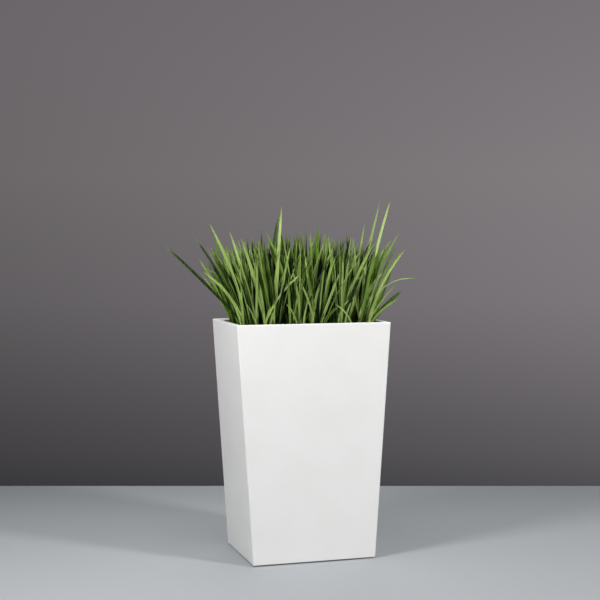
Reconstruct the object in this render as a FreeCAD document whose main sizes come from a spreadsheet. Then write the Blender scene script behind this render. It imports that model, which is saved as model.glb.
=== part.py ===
import FreeCAD
import Part
import Sketcher
import math
import os

# Tall tapered fiberglass floor planter, white, planted with grass.
# Frame: origin on the floor under the middle of the planter, +Z up, +X to the right of the
# broad front face, +Y to the back. Millimetres.

SIZES = {
    # moulded shell: broad sides upright, narrow sides leaning out towards the rim
    "height": 610,
    "base_width": 326,
    "top_width": 408,
    "depth": 267,
    "wall": 5,
    "floor_thickness": 6,
    "rim_width": 12,
    "rim_thickness": 10,
    "rim_slope": 6,
    "edge_radius": 2,
    "floor_radius": 8,
    "drain_bore": 20,
    # rubber drain plug
    "plug_fit": 0.3,
    "plug_head": 32,
    "plug_head_height": 4,
    "plug_neck": 8,
    "plug_grip": 12,
    "plug_grip_height": 14,
    "plug_lead": 2,
    # rubber feet
    "foot_height": 3,
    "foot_diameter": 30,
    "foot_inset": 30,
    # bonded cleats and the lift-out false bottom
    "seat_height": 330,
    "cleat_reach": 22,
    "cleat_nose": 8,
    "cleat_drop": 30,
    "cleat_length": 60,
    "cleat_spacing": 150,
    "shelf_thickness": 8,
    "shelf_gap": 3,
    "shelf_corner": 12,
    # liner that holds the planting
    "liner_gap": 4,
    "liner_drop": 14,
    "liner_wall": 3,
    "liner_taper": 10,
    "lip_width": 6,
    "lip_thickness": 4,
    # drain holes, in line through the false bottom and the liner
    "drain_hole": 12,
    "drain_pitch_x": 80,
    "drain_pitch_y": 100,
    # potting soil and the root plugs set in it
    "soil_drop": 12,
    "soil_fit": 0.3,
    "plug_radius": 12,
    "plug_depth": 30,
    "tuft_pitch_x": 58,
    "tuft_pitch_y": 54,
    # grass
    "crown_radius": 10,
    "crown_rise": 4,
    "blade_width": 8,
    "blade_fold": 1.8,
    "canopy_rise": 262,
    "field_spread": 0.6,
    "tuft_spread": 31,
    "edge_lean": 62,
    "grass_reach_x": 340,
    "grass_reach_y": 236,
}
DRAIN_COLUMNS = 4
DRAIN_ROWS = 2
TUFT_COLUMNS = 6
TUFT_ROWS = 4
BLADES = 9

doc = FreeCAD.newDocument("planter")
sheet = doc.addObject("Spreadsheet::Sheet", "Sizes")
for row, (alias, value) in enumerate(SIZES.items(), start=1):
    sheet.set(f"A{row}", alias)
    sheet.set(f"B{row}", str(value))
    sheet.setAlias(f"B{row}", alias)
doc.recompute()


def size(expression):
    """A length worked out from the sheet, in millimetres."""
    return float(sheet.evalExpression(expression))


# ---- places that several pieces share, as expressions on the sheet ----
LEAN = "((Sizes.top_width - Sizes.base_width) / 2 / (Sizes.height - Sizes.foot_height))"
FLOOR_TOP = "(Sizes.foot_height + Sizes.floor_thickness)"
RIM_UNDERSIDE = "(Sizes.height - Sizes.rim_thickness)"
MOUTH_X = "(Sizes.top_width / 2 - Sizes.rim_width)"
MOUTH_Y = "(Sizes.depth / 2 - Sizes.rim_width)"
SHELF_TOP = "(Sizes.seat_height + Sizes.shelf_thickness)"
LINER_TOP = "(Sizes.height - Sizes.liner_drop)"
LINER_X = f"({MOUTH_X} - Sizes.liner_gap - Sizes.lip_width)"
LINER_Y = f"({MOUTH_Y} - Sizes.liner_gap - Sizes.lip_width)"
LINER_FLOOR = f"({SHELF_TOP} + Sizes.liner_wall)"
SOIL_TOP = f"({LINER_TOP} - Sizes.soil_drop)"


def inner_half_width(level):
    """Half the clear width between the leaning side walls at a height."""
    return f"(Sizes.base_width / 2 - Sizes.wall + {LEAN} * ({level} - Sizes.foot_height))"


# ---- sketching ----
def new_body(label):
    body = doc.addObject("PartDesign::Body", label)
    body.Label = label
    return body


def new_sketch(body, role, name, level=None):
    """A sketch on one of the body's own origin planes, raised to a level where one is given."""
    sketch = body.newObject("Sketcher::SketchObject", name)
    plane = [o for o in body.Origin.OriginFeatures if o.Role == role][0]
    sketch.AttachmentSupport = [(plane, "")]
    sketch.MapMode = "FlatFace"
    if level is not None:
        sketch.setExpression("AttachmentOffset.Base.z", level)
    return sketch


def pin_point(sketch, geometry, end, across, up):
    """Ties one end of a line, or a circle's centre, to a place given by two expressions."""
    for kind, expression in (("DistanceX", across), ("DistanceY", up)):
        value = size(expression)
        index = sketch.addConstraint(Sketcher.Constraint(kind, -1, 1, geometry, end, value))
        sketch.setExpression(f"Constraints[{index}]", expression)


def draw_outline(sketch, corners):
    """A closed outline of straight runs through corners, each a pair of expressions."""
    points = [FreeCAD.Vector(size(across), size(up), 0) for across, up in corners]
    count = len(points)
    first = sketch.GeometryCount
    for i in range(count):
        sketch.addGeometry(Part.LineSegment(points[i], points[(i + 1) % count]))
    for i in range(count):
        follower = first + (i + 1) % count
        sketch.addConstraint(Sketcher.Constraint("Coincident", first + i, 2, follower, 1))
    for i, (across, up) in enumerate(corners):
        pin_point(sketch, first + i, 1, across, up)


def draw_rectangle(sketch, half_x, half_y):
    draw_outline(
        sketch,
        [
            (f"-{half_x}", f"-{half_y}"),
            (half_x, f"-{half_y}"),
            (half_x, half_y),
            (f"-{half_x}", half_y),
        ],
    )


def draw_polygon(sketch, across, up, radius, sides):
    """A regular polygon about a place, with the middle of one side towards +X."""
    turns = [2 * math.pi / sides * (i - 0.5) for i in range(sides)]
    draw_outline(
        sketch,
        [
            (
                f"{across} + {radius} * {math.cos(turn):.9f}",
                f"{up} + {radius} * {math.sin(turn):.9f}",
            )
            for turn in turns
        ],
    )


def draw_circle(sketch, across, up, diameter):
    centre = FreeCAD.Vector(size(across), size(up), 0)
    axis = FreeCAD.Vector(0, 0, 1)
    circle = sketch.addGeometry(Part.Circle(centre, axis, size(diameter) / 2))
    pin_point(sketch, circle, 3, across, up)
    index = sketch.addConstraint(Sketcher.Constraint("Diameter", circle, size(diameter)))
    sketch.setExpression(f"Constraints[{index}]", diameter)


# ---- features ----
def extrude(body, kind, name, sketch, length, symmetric=False, reverse=False):
    """A Pad or a Pocket whose length follows the sheet."""
    feature = body.newObject(f"PartDesign::{kind}", name)
    feature.Profile = sketch
    feature.SideType = "Symmetric" if symmetric else "One side"
    feature.Reversed = reverse
    feature.setExpression("Length", length)
    doc.recompute()
    return feature


def loft(body, kind, name, lower, upper):
    feature = body.newObject(f"PartDesign::{kind}", name)
    feature.Profile = lower
    feature.Sections = [upper]
    feature.Ruled = True
    doc.recompute()
    return feature


def ease_edges(body, kind, name, base, chosen, amount):
    """A Fillet or a Chamfer on those edges of a feature that the test chooses."""
    edges = [f"Edge{i}" for i, edge in enumerate(base.Shape.Edges, start=1) if chosen(edge)]
    feature = body.newObject(f"PartDesign::{kind}", name)
    feature.Base = (base, edges)
    feature.setExpression("Radius" if kind == "Fillet" else "Size", amount)
    doc.recompute()
    return feature


def repeat_in_grid(body, feature, sketch, pitch_x, count_x, pitch_y, count_y):
    """Repeats a feature along +X and then +Y of its sketch."""
    grid = body.newObject("PartDesign::MultiTransform", f"{feature.Name}_grid")
    grid.Originals = [feature]
    runs = []
    for axis, pitch, count in (("H_Axis", pitch_x, count_x), ("V_Axis", pitch_y, count_y)):
        run = body.newObject("PartDesign::LinearPattern", f"{feature.Name}_{axis[0].lower()}")
        run.Direction = (sketch, [axis])
        run.setExpression("Length", f"{pitch} * {count - 1}")
        run.Occurrences = count
        runs.append(run)
    grid.Transformations = runs
    body.Tip = grid
    doc.recompute()
    return grid


def lies_at(edge, level):
    """Is the whole edge at one height?"""
    return abs(edge.BoundBox.ZMin - level) < 1e-6 and abs(edge.BoundBox.ZMax - level) < 1e-6


# ---- shell: one laminate of walls, floor and thickened rim ----
shell = new_body("planter_shell")

front = new_sketch(shell, "XZ_Plane", "front_outline")
draw_outline(
    front,
    [
        ("-Sizes.base_width / 2", "Sizes.foot_height"),
        ("Sizes.base_width / 2", "Sizes.foot_height"),
        ("Sizes.top_width / 2", "Sizes.height"),
        ("-Sizes.top_width / 2", "Sizes.height"),
    ],
)
blank = extrude(shell, "Pad", "blank", front, "Sizes.depth", symmetric=True)

well_outline = new_sketch(shell, "XZ_Plane", "well_outline")
well_floor = inner_half_width(FLOOR_TOP)
well_top = inner_half_width(RIM_UNDERSIDE)
draw_outline(
    well_outline,
    [
        (f"-{well_floor}", FLOOR_TOP),
        (well_floor, FLOOR_TOP),
        (well_top, RIM_UNDERSIDE),
        (f"-{well_top}", RIM_UNDERSIDE),
    ],
)
inner_depth = "Sizes.depth - 2 * Sizes.wall"
well = extrude(shell, "Pocket", "well", well_outline, inner_depth, symmetric=True)

mouth_outline = new_sketch(shell, "XY_Plane", "mouth_outline", "Sizes.height")
draw_rectangle(mouth_outline, MOUTH_X, MOUTH_Y)
mouth = extrude(shell, "Pocket", "mouth", mouth_outline, "Sizes.rim_thickness")

bore_outline = new_sketch(shell, "XY_Plane", "bore_outline", FLOOR_TOP)
draw_circle(bore_outline, "0", "0", "Sizes.drain_bore")
bore = extrude(shell, "Pocket", "bore", bore_outline, "Sizes.floor_thickness")

# The rim's underside slopes out to the wall, as thickening laid up behind a lip does.
rim_under = size(RIM_UNDERSIDE)
half_depth = size("Sizes.depth") / 2
clear_y = size(MOUTH_Y)
clear_x = size(MOUTH_X)


def bounds_mouth(edge):
    middle = edge.CenterOfMass
    return abs(middle.x) < clear_x + 1e-6 and abs(middle.y) < clear_y + 1e-6


def under_lip(edge):
    return lies_at(edge, rim_under) and bounds_mouth(edge)


lip = ease_edges(shell, "Chamfer", "rim_slope", bore, under_lip, "Sizes.rim_slope")


def in_well_corner(edge):
    return lies_at(edge, size(FLOOR_TOP)) and edge.Curve.TypeId == "Part::GeomLine"


well_corner = ease_edges(shell, "Fillet", "well_corner", lip, in_well_corner, "Sizes.floor_radius")


def outer_or_mouth_edge(edge):
    """The outside corners and base, and both edges of the rim's flat top."""
    if edge.Curve.TypeId != "Part::GeomLine":
        return False
    box = edge.BoundBox
    on_broad_face = abs(abs(edge.CenterOfMass.y) - half_depth) < 1e-6
    upright = on_broad_face and box.ZLength > size("Sizes.height") / 2
    level = lies_at(edge, size("Sizes.height")) or lies_at(edge, size("Sizes.foot_height"))
    return upright or level


ease_edges(shell, "Fillet", "outer_edges", well_corner, outer_or_mouth_edge, "Sizes.edge_radius")

# ---- drain plug: stem in the floor's bore, head on the floor, grip to pull it by ----
plug = new_body("drain_plug")
plug_profile = new_sketch(plug, "XZ_Plane", "plug_profile")
stem = "(Sizes.drain_bore / 2 - Sizes.plug_fit)"
head_top = f"({FLOOR_TOP} + Sizes.plug_head_height)"
grip_top = f"({head_top} + Sizes.plug_grip_height)"
draw_outline(
    plug_profile,
    [
        ("0", "Sizes.foot_height"),
        (f"{stem} - Sizes.plug_lead / 2", "Sizes.foot_height"),
        (stem, "Sizes.foot_height + Sizes.plug_lead"),
        (stem, FLOOR_TOP),
        ("Sizes.plug_head / 2", FLOOR_TOP),
        ("Sizes.plug_head / 2", head_top),
        ("Sizes.plug_neck / 2", head_top),
        ("Sizes.plug_grip / 2", grip_top),
        ("0", grip_top),
    ],
)
turned = plug.newObject("PartDesign::Revolution", "turned")
turned.Profile = plug_profile
turned.ReferenceAxis = (plug_profile, ["V_Axis"])
doc.recompute()

# ---- feet: four rubber discs stuck under the floor, in from the corners ----
SIDES = {"left": "-", "right": ""}
ENDS = {"front": "-", "back": ""}
for end_name, end_sign in ENDS.items():
    for side_name, side_sign in SIDES.items():
        foot = new_body(f"foot_{end_name}_{side_name}")
        disc = new_sketch(foot, "XY_Plane", f"disc_{end_name}_{side_name}")
        foot_x = f"{side_sign}(Sizes.base_width / 2 - Sizes.foot_inset)"
        foot_y = f"{end_sign}(Sizes.depth / 2 - Sizes.foot_inset)"
        draw_circle(disc, foot_x, foot_y, "Sizes.foot_diameter")
        extrude(foot, "Pad", f"pad_{end_name}_{side_name}", disc, "Sizes.foot_height")

# ---- cleats: four blocks bonded to the leaning side walls, a level seat on each ----
for side_name, side_sign in SIDES.items():
    for end_name, end_sign in ENDS.items():
        cleat = new_body(f"cleat_{side_name}_{end_name}")
        section = new_sketch(cleat, "XZ_Plane", f"section_{side_name}_{end_name}")
        foot_level = "(Sizes.seat_height - Sizes.cleat_drop)"
        seat_wall = inner_half_width("Sizes.seat_height")
        foot_wall = inner_half_width(foot_level)
        nose = f"({seat_wall} - Sizes.cleat_reach)"
        draw_outline(
            section,
            [
                (f"{side_sign}{nose}", "Sizes.seat_height"),
                (f"{side_sign}{seat_wall}", "Sizes.seat_height"),
                (f"{side_sign}{foot_wall}", foot_level),
                (f"{side_sign}{nose}", "Sizes.seat_height - Sizes.cleat_nose"),
            ],
        )
        section.setExpression("AttachmentOffset.Base.z", f"-({end_sign}Sizes.cleat_spacing / 2)")
        block = f"block_{side_name}_{end_name}"
        extrude(cleat, "Pad", block, section, "Sizes.cleat_length", symmetric=True)

# ---- false bottom: drained plate that lies on the cleats ----
shelf = new_body("false_bottom")
plate_outline = new_sketch(shelf, "XY_Plane", "plate_outline", "Sizes.seat_height")
SHELF_X = f"({inner_half_width('Sizes.seat_height')} - Sizes.shelf_gap)"
SHELF_Y = f"({MOUTH_Y} - Sizes.shelf_gap)"
draw_rectangle(plate_outline, SHELF_X, SHELF_Y)
plate = extrude(shelf, "Pad", "plate", plate_outline, "Sizes.shelf_thickness")
shelf_thickness = size("Sizes.shelf_thickness")


def plate_corner(edge):
    return abs(edge.BoundBox.ZLength - shelf_thickness) < 1e-6


rounded = ease_edges(shelf, "Fillet", "plate_corners", plate, plate_corner, "Sizes.shelf_corner")
FIRST_HOLE_X = f"-Sizes.drain_pitch_x * {(DRAIN_COLUMNS - 1) / 2}"
FIRST_HOLE_Y = f"-Sizes.drain_pitch_y * {(DRAIN_ROWS - 1) / 2}"


def drill_drains(body, name, level, thickness):
    """A grid of drain holes straight down through a plate from a level."""
    hole_outline = new_sketch(body, "XY_Plane", f"{name}_outline", level)
    draw_circle(hole_outline, FIRST_HOLE_X, FIRST_HOLE_Y, "Sizes.drain_hole")
    hole = extrude(body, "Pocket", name, hole_outline, thickness)
    return repeat_in_grid(
        body,
        hole,
        hole_outline,
        "Sizes.drain_pitch_x",
        DRAIN_COLUMNS,
        "Sizes.drain_pitch_y",
        DRAIN_ROWS,
    )


drill_drains(shelf, "shelf_drain", SHELF_TOP, "Sizes.shelf_thickness")

# ---- liner: drawn tub with a turned-out lip, standing on the false bottom ----
liner = new_body("liner")
tub_foot = new_sketch(liner, "XY_Plane", "tub_foot", SHELF_TOP)
draw_rectangle(tub_foot, f"({LINER_X} - Sizes.liner_taper)", f"({LINER_Y} - Sizes.liner_taper)")
tub_top = new_sketch(liner, "XY_Plane", "tub_top", LINER_TOP)
draw_rectangle(tub_top, LINER_X, LINER_Y)
loft(liner, "AdditiveLoft", "tub", tub_foot, tub_top)
lip_outline = new_sketch(liner, "XY_Plane", "lip_outline", LINER_TOP)
draw_rectangle(lip_outline, f"({LINER_X} + Sizes.lip_width)", f"({LINER_Y} + Sizes.lip_width)")
extrude(liner, "Pad", "lip", lip_outline, "Sizes.lip_thickness", reverse=True)


def inner_half(outer_half, level, clearance):
    """Half the room inside the liner at a level, less a clearance."""
    height = f"({LINER_TOP} - {SHELF_TOP})"
    narrowing = f"Sizes.liner_taper * ({LINER_TOP} - {level}) / {height}"
    return f"({outer_half} - Sizes.liner_wall - {clearance} - {narrowing})"


room_foot = new_sketch(liner, "XY_Plane", "room_foot", LINER_FLOOR)
room_x = inner_half(LINER_X, LINER_FLOOR, "0")
room_y = inner_half(LINER_Y, LINER_FLOOR, "0")
draw_rectangle(room_foot, room_x, room_y)
room_top = new_sketch(liner, "XY_Plane", "room_top", LINER_TOP)
mouth_x = inner_half(LINER_X, LINER_TOP, "0")
mouth_y = inner_half(LINER_Y, LINER_TOP, "0")
draw_rectangle(room_top, mouth_x, mouth_y)
loft(liner, "SubtractiveLoft", "room", room_foot, room_top)
drill_drains(liner, "liner_drain", LINER_FLOOR, "Sizes.liner_wall")

# ---- potting soil: fills the liner and keeps a pocket for every root plug ----
soil = new_body("potting_soil")
soil_foot = new_sketch(soil, "XY_Plane", "soil_foot", LINER_FLOOR)
foot_x = inner_half(LINER_X, LINER_FLOOR, "Sizes.soil_fit")
foot_y = inner_half(LINER_Y, LINER_FLOOR, "Sizes.soil_fit")
draw_rectangle(soil_foot, foot_x, foot_y)
soil_surface = new_sketch(soil, "XY_Plane", "soil_surface", SOIL_TOP)
surface_x = inner_half(LINER_X, SOIL_TOP, "Sizes.soil_fit")
surface_y = inner_half(LINER_Y, SOIL_TOP, "Sizes.soil_fit")
draw_rectangle(soil_surface, surface_x, surface_y)
loft(soil, "AdditiveLoft", "fill", soil_foot, soil_surface)
pocket_outline = new_sketch(soil, "XY_Plane", "pocket_outline", SOIL_TOP)
draw_polygon(
    pocket_outline,
    f"-Sizes.tuft_pitch_x * {(TUFT_COLUMNS - 1) / 2}",
    f"-Sizes.tuft_pitch_y * {(TUFT_ROWS - 1) / 2}",
    "(Sizes.plug_radius + Sizes.soil_fit)",
    BLADES,
)
pocket = extrude(soil, "Pocket", "root_pocket", pocket_outline, "Sizes.plug_depth")
repeat_in_grid(
    soil,
    pocket,
    pocket_outline,
    "Sizes.tuft_pitch_x",
    TUFT_COLUMNS,
    "Sizes.tuft_pitch_y",
    TUFT_ROWS,
)

# ---- grass: tufts of blades that fan out of a crown above a tapered root plug ----
# Heights along a blade, as shares of its rise, with its width there as a share of the widest.
STATIONS = [(0.16, 0.8), (0.38, 1.0), (0.68, 0.72)]
GOLDEN = (math.sqrt(5) - 1) / 2
# Long blades on the edge of the planting. Each is (column, row, reach along X, reach along Y,
# rise), as shares of the grass's reach to that side and of the canopy's rise above the soil. A
# reach is the tip's distance from the planter's middle.
LONG_BLADES = [
    (0, 3, -1.00, 0.36, 0.83),
    (0, 2, -0.81, 0.09, 0.92),
    (0, 1, -0.75, -0.14, 1.05),
    (0, 0, -0.62, -0.47, 0.90),
    (5, 2, 1.00, 0.19, 0.50),
    (5, 1, 0.81, -0.13, 0.76),
    (5, 0, 0.77, -0.41, 0.40),
    (5, 3, 0.77, 0.57, 1.02),
    (4, 2, 0.68, 0.17, 1.30),
    (4, 1, 0.65, -0.21, 1.29),
    (2, 1, -0.15, -0.08, 1.22),
    (1, 0, -0.31, -1.00, 0.72),
    (3, 0, 0.18, -0.87, 0.82),
    (1, 3, -0.27, 0.88, 0.89),
    (4, 3, 0.36, 1.00, 0.75),
]


def spread_of(count, value):
    """A share between 0 and 1 that never bunches: multiples of the golden ratio."""
    return (count * GOLDEN + value) % 1


def blade_path(centre, angle, number, edge):
    """Rise of the tip, and a function from a share of it to the blade's middle.

    All tufts open like one fan: a tuft's middle moves outwards with height in proportion to its
    place, and its own blades lean out from that middle, each within its sector.
    """
    canopy = size("Sizes.canopy_rise")
    out = (math.cos(angle), math.sin(angle))
    outward = max(0.0, out[0] * edge[0], out[1] * edge[1])
    lean = size("Sizes.tuft_spread") * (0.55 + 0.45 * spread_of(number, 0.3))
    lean += size("Sizes.edge_lean") * outward**3
    rise = canopy * (0.74 + 0.26 * spread_of(number, 0)) * (1 - 0.22 * outward**3)
    start = 0.8 * size("Sizes.crown_radius")

    def middle(share):
        opening = (share * rise / canopy) ** 1.5
        away = start + lean * share**1.5
        drift = size("Sizes.field_spread") * opening
        return (
            centre[0] * (1 + drift) + out[0] * away,
            centre[1] * (1 + drift) + out[1] * away,
        )

    return rise, middle


def long_path(centre, angle, reach_x, reach_y, rise):
    """The same for a blade whose tip has its own place."""
    start = 0.8 * size("Sizes.crown_radius")
    root = (centre[0] + math.cos(angle) * start, centre[1] + math.sin(angle) * start)

    def middle(share):
        part = share**1.3
        return (
            root[0] + (reach_x - root[0]) * part,
            root[1] + (reach_y - root[1]) * part,
        )

    return rise, middle


def triangles_between(lower, upper):
    """The flat facets of a band between two three-cornered sections."""
    facets = []
    for i in range(3):
        j = (i + 1) % 3
        facets.append((lower[i], lower[j], upper[j]))
        facets.append((lower[i], upper[j], upper[i]))
    return facets


def blade_facets(base, angle, rise, middle):
    """Facets of one blade, from its own facet of the crown up to its tip.

    A section has its two edges on the outside and its fold on the inside.
    """
    across = (-math.sin(angle), math.cos(angle))
    inwards = (-math.cos(angle), -math.sin(angle))
    crown_level = size(SOIL_TOP) + size("Sizes.crown_rise")
    climb = rise - size("Sizes.crown_rise")
    facets = []
    lower = base
    for share, width_share in STATIONS:
        x, y = middle(share)
        level = crown_level + climb * share
        half = size("Sizes.blade_width") / 2 * width_share
        fold = size("Sizes.blade_fold") * width_share
        upper = [
            FreeCAD.Vector(x + inwards[0] * fold, y + inwards[1] * fold, level),
            FreeCAD.Vector(x - across[0] * half, y - across[1] * half, level),
            FreeCAD.Vector(x + across[0] * half, y + across[1] * half, level),
        ]
        facets += triangles_between(lower, upper)
        lower = upper
    tip = FreeCAD.Vector(*middle(1), crown_level + climb)
    for i in range(3):
        facets.append((lower[i], lower[(i + 1) % 3], tip))
    return facets


def ring(centre, radius, level, turn=0.0):
    """Corners of a level polygon with one side for each blade."""
    step = 2 * math.pi / BLADES
    return [
        FreeCAD.Vector(
            centre[0] + radius * math.cos(turn + step * (i - 0.5)),
            centre[1] + radius * math.sin(turn + step * (i - 0.5)),
            level,
        )
        for i in range(BLADES)
    ]


def grass_tuft(column, row, number):
    """One closed solid: root plug, crown, and a blade drawn out of each facet of the crown."""
    centre = (
        size("Sizes.tuft_pitch_x") * (column - (TUFT_COLUMNS - 1) / 2),
        size("Sizes.tuft_pitch_y") * (row - (TUFT_ROWS - 1) / 2),
    )
    edge = (
        {0: -1, TUFT_COLUMNS - 1: 1}.get(column, 0),
        {0: -1, TUFT_ROWS - 1: 1}.get(row, 0),
    )
    step = 2 * math.pi / BLADES
    longs = [
        (x * size("Sizes.grass_reach_x"), y * size("Sizes.grass_reach_y"), rise * size("Sizes.canopy_rise"))
        for long_column, long_row, x, y, rise in LONG_BLADES
        if (long_column, long_row) == (column, row)
    ]
    towards = step * spread_of(number, 0.5)
    if longs:
        towards = math.atan2(longs[0][1] - centre[1], longs[0][0] - centre[0])
    long_side = round(towards / step)
    turn = towards - long_side * step
    surface = size(SOIL_TOP)
    plug_radius = size("Sizes.plug_radius")
    crown_level = surface + size("Sizes.crown_rise")
    plug_foot = ring(centre, 0.75 * plug_radius, surface - size("Sizes.plug_depth"))
    plug_top = ring(centre, plug_radius, surface)
    crown = ring(centre, size("Sizes.crown_radius"), crown_level, turn)
    apex = FreeCAD.Vector(centre[0], centre[1], crown_level)
    facets = [tuple(reversed(plug_foot))]
    for i in range(BLADES):
        j = (i + 1) % BLADES
        facets.append((plug_foot[i], plug_foot[j], plug_top[j], plug_top[i]))
        facets.append((plug_top[i], plug_top[j], crown[j]))
        facets.append((plug_top[i], crown[j], crown[i]))
        angle = turn + step * i
        if longs and i == long_side % BLADES:
            rise, middle = long_path(centre, angle, *longs[0])
        else:
            rise, middle = blade_path(centre, angle, number * BLADES + i, edge)
        facets += blade_facets([apex, crown[i], crown[j]], angle, rise, middle)
    faces = [Part.Face(Part.makePolygon([*corners, corners[0]])) for corners in facets]
    return Part.Solid(Part.Shell(faces))


for column in range(TUFT_COLUMNS):
    for row in range(TUFT_ROWS):
        number = column * TUFT_ROWS + row + 1
        tuft = doc.addObject("Part::Feature", f"grass_tuft_{number:02d}")
        tuft.Label = f"grass_tuft_{number:02d}"
        tuft.Shape = grass_tuft(column, row, number)

doc.recompute()

# ---- check every object, then write one file per piece ----
pieces = [o for o in doc.Objects if o.isDerivedFrom("PartDesign::Body")]
pieces += [o for o in doc.Objects if o.TypeId == "Part::Feature"]
for item in doc.Objects:
    if "Invalid" in item.State or "Error" in item.State:
        raise RuntimeError(f"{item.Label} did not build: {item.State}")
for piece in pieces:
    if piece.Shape.isNull() or not piece.Shape.isValid() or piece.Shape.Volume <= 0:
        raise RuntimeError(f"{piece.Label} is not a sound solid")
os.makedirs("parts", exist_ok=True)
for piece in pieces:
    piece.Shape.exportStep(f"parts/{piece.Label}.step")
    print(piece.Label, len(piece.Shape.Solids), round(piece.Shape.Volume / 1000, 2), "cm3")
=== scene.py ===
import math

import bpy
import numpy as np
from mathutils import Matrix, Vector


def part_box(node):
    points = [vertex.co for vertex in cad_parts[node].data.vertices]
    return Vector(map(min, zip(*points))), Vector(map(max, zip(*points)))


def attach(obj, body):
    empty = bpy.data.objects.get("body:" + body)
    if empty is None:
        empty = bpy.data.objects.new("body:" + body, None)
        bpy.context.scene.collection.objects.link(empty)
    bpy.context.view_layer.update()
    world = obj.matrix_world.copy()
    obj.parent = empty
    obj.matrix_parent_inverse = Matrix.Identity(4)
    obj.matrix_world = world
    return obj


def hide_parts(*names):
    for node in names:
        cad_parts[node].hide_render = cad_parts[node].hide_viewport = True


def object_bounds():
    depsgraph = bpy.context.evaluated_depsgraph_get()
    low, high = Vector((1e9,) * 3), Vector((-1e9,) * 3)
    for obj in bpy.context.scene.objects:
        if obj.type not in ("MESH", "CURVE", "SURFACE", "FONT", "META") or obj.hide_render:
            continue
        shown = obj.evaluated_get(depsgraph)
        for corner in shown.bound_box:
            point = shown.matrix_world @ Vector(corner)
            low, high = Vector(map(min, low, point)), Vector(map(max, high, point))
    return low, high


# Tall tapered fiberglass floor planter, white outside, with ornamental grass in a lift-out liner.
# Metres. Origin on the floor under the middle of the planter, +Z up, +X to the right of the
# broad front face, +Y to the back.

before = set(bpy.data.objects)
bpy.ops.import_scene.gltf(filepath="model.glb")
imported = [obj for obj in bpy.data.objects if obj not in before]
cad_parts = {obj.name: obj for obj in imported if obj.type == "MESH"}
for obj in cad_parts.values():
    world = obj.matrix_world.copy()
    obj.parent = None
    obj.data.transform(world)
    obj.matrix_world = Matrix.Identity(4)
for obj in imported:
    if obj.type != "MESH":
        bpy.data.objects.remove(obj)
cad_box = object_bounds()

# ---- shell ----
# One skin of glass-fibre laminate laid up in a mould: walls, floor and a rim thickened inside.
# The broad sides stand upright and the narrow ones lean out. Satin white gelcoat covers the
# outside and the rim, and white flow coat brushed over the strands covers the inside.

shell_low, shell_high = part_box("planter_shell")
BASE_HALF_X = 0.163
WALL = 0.005
FLOOR_THICKNESS = 0.006
RIM_WIDTH = 0.012
RIM_FACE = 0.0042
RIM_THICKNESS = 0.0115
BASE_EDGE = 0.002
RIM_EDGE = 0.0024
MOUTH_EDGE = 0.0018
RIM_UNDERSIDE_EDGE = 0.0008
HAUNCH = 0.003
WELL_CORNER = 0.008
OUTSIDE_CORNER = 0.0035
INSIDE_CORNER = 0.009
FLOOR_RING = 0.1
BORE = 0.010
BORE_EDGE = 0.0006
BORE_RING = BORE + 0.003
CORNER_TURN = np.linspace(0, math.pi / 2, 7)
# Where points stand along each straight side, as shares of its length.
SIDE_SHARES = np.array([0.012, 0.25, 0.5, 0.75, 0.988])
# Edges that turn by more degrees than this are shaded sharp.
SHARP = 35


def unit(vectors):
    """Every vector divided by its own length."""
    return vectors / np.linalg.norm(vectors, axis=-1, keepdims=True)


def eased_line(corners, radii, steps=6, margin=0.0008):
    """A line through corners, with an arc at each one between the first and the last.

    An arc touches both straights at radius / tan(half the corner's angle) from the corner. Its
    points are the turn from one touching radius to the other in equal angles, and one more point
    lies a margin beyond each end, so that shading on the straights stays flat.
    """
    corners = np.array(corners, dtype=float)
    here = corners[1:-1]
    back = unit(corners[:-2] - here)
    ahead = unit(corners[2:] - here)
    half = np.arccos(np.clip((back * ahead).sum(axis=1), -1, 1))[:, None] / 2
    radius = np.array(radii, dtype=float)[:, None]
    reach = radius / np.tan(half)
    centre = here + unit(back + ahead) * radius / np.sin(half)
    first = here + back * reach - centre
    last = here + ahead * reach - centre
    turn = math.pi - 2 * half
    share = np.linspace(0, 1, steps + 1)[None, :, None]
    turn = turn[:, :, None]
    weight_first = np.sin((1 - share) * turn) / np.sin(turn)
    weight_last = np.sin(share * turn) / np.sin(turn)
    arc = centre[:, None] + weight_first * first[:, None] + weight_last * last[:, None]
    before = (here + back * (reach + margin))[:, None]
    after = (here + ahead * (reach + margin))[:, None]
    eased = np.concatenate([before, arc, after], axis=1).reshape(-1, corners.shape[1])
    return np.concatenate([corners[:1], eased, corners[-1:]])


def squared_rings(half_x, half_y, corner, height, shares=SIDE_SHARES):
    """One closed ring of points for each row: four quarter circles joined by straight sides.

    A quarter circle's middle lies `corner` in from both sides, and each side has a point at
    every share of its length. The rings run counterclockwise seen from above.
    """
    sizes = (half_x, half_y, corner)
    half_x, half_y, corner = (np.asarray(size, dtype=float)[:, None, None] for size in sizes)
    turn = (np.arange(4) * math.pi / 2)[:, None] + CORNER_TURN
    middle = turn.mean(axis=1, keepdims=True)
    across = np.sign(np.cos(middle)) * (half_x - corner) + corner * np.cos(turn)
    along = np.sign(np.sin(middle)) * (half_y - corner) + corner * np.sin(turn)
    arcs = np.stack([across, along], axis=-1)
    start = arcs[:, :, -1:]
    end = np.roll(arcs[:, :, :1], -1, axis=1)
    sides = start + (end - start) * shares[:, None]
    rings = np.concatenate([arcs, sides], axis=2).reshape(len(half_x), -1, 2)
    level = np.broadcast_to(np.asarray(height, dtype=float)[:, None, None], rings.shape[:2] + (1,))
    return np.concatenate([rings, level], axis=2)


def round_rings(radius, height, turn):
    """One circle for each row of (radius, height), with a point at each angle in turn."""
    radius = np.asarray(radius, dtype=float)[:, None]
    level = np.broadcast_to(np.asarray(height, dtype=float)[:, None], (len(radius), len(turn)))
    return np.stack([radius * np.cos(turn), radius * np.sin(turn), level], axis=-1)


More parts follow.
